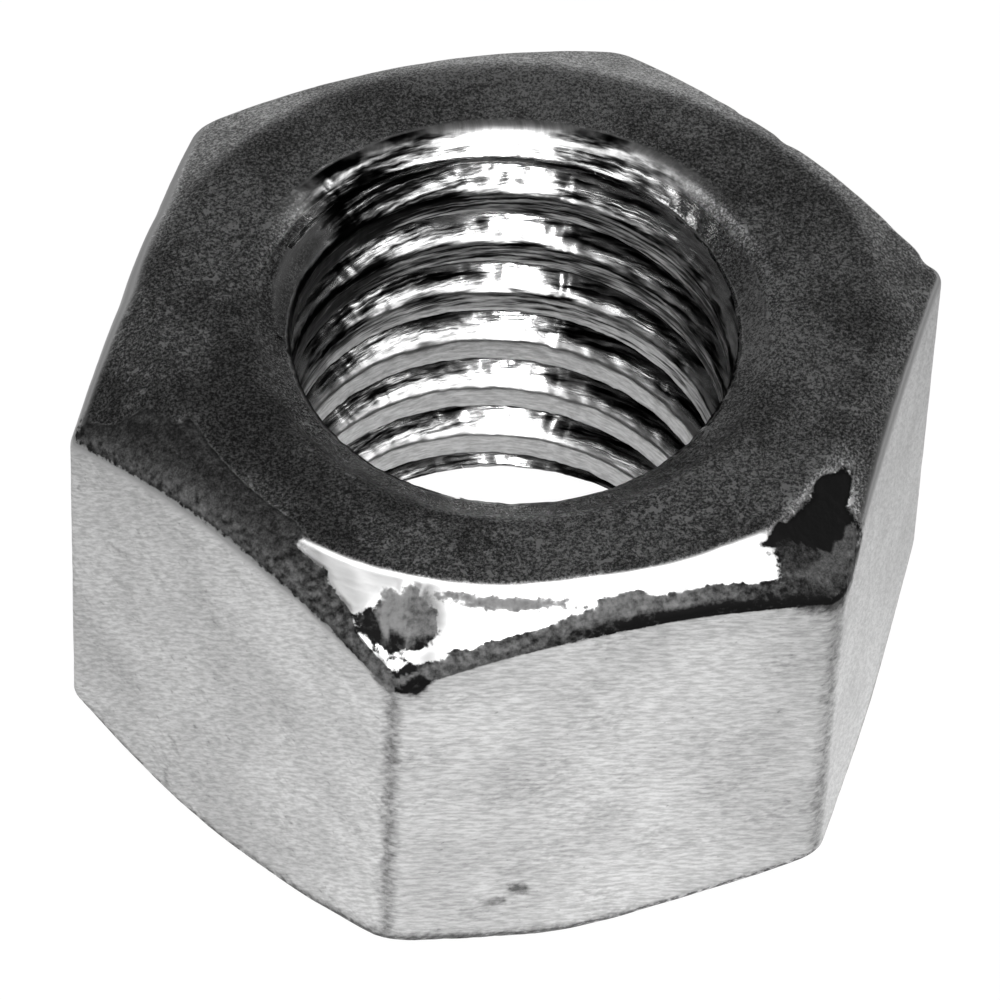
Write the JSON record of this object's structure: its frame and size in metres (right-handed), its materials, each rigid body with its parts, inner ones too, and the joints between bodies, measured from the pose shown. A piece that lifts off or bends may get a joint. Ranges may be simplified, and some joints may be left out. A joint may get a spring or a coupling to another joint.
{
  "type": "hex nut",
  "caption": "Tall hex nut with a right-hand coarse internal thread, chamfered on both faces; screws onto a bolt or stud and is tightened with a spanner.",
  "frame": {"origin": "centre of the thread axis on the lower bearing face, so the nut stands on Z = 0", "axes": "+Z along the thread axis towards the upper bearing face; +X through two opposite corners of the hexagon, +Y through the middle of two opposite flats"},
  "size_m": [0.0218, 0.0188, 0.0119],
  "materials": {
    "plated_steel": "dull zinc plating, faintly grained, with grime along the corners"
  },
  "bodies": {
    "root": {"nut": "plated_steel"}
  },
  "joints": []
}
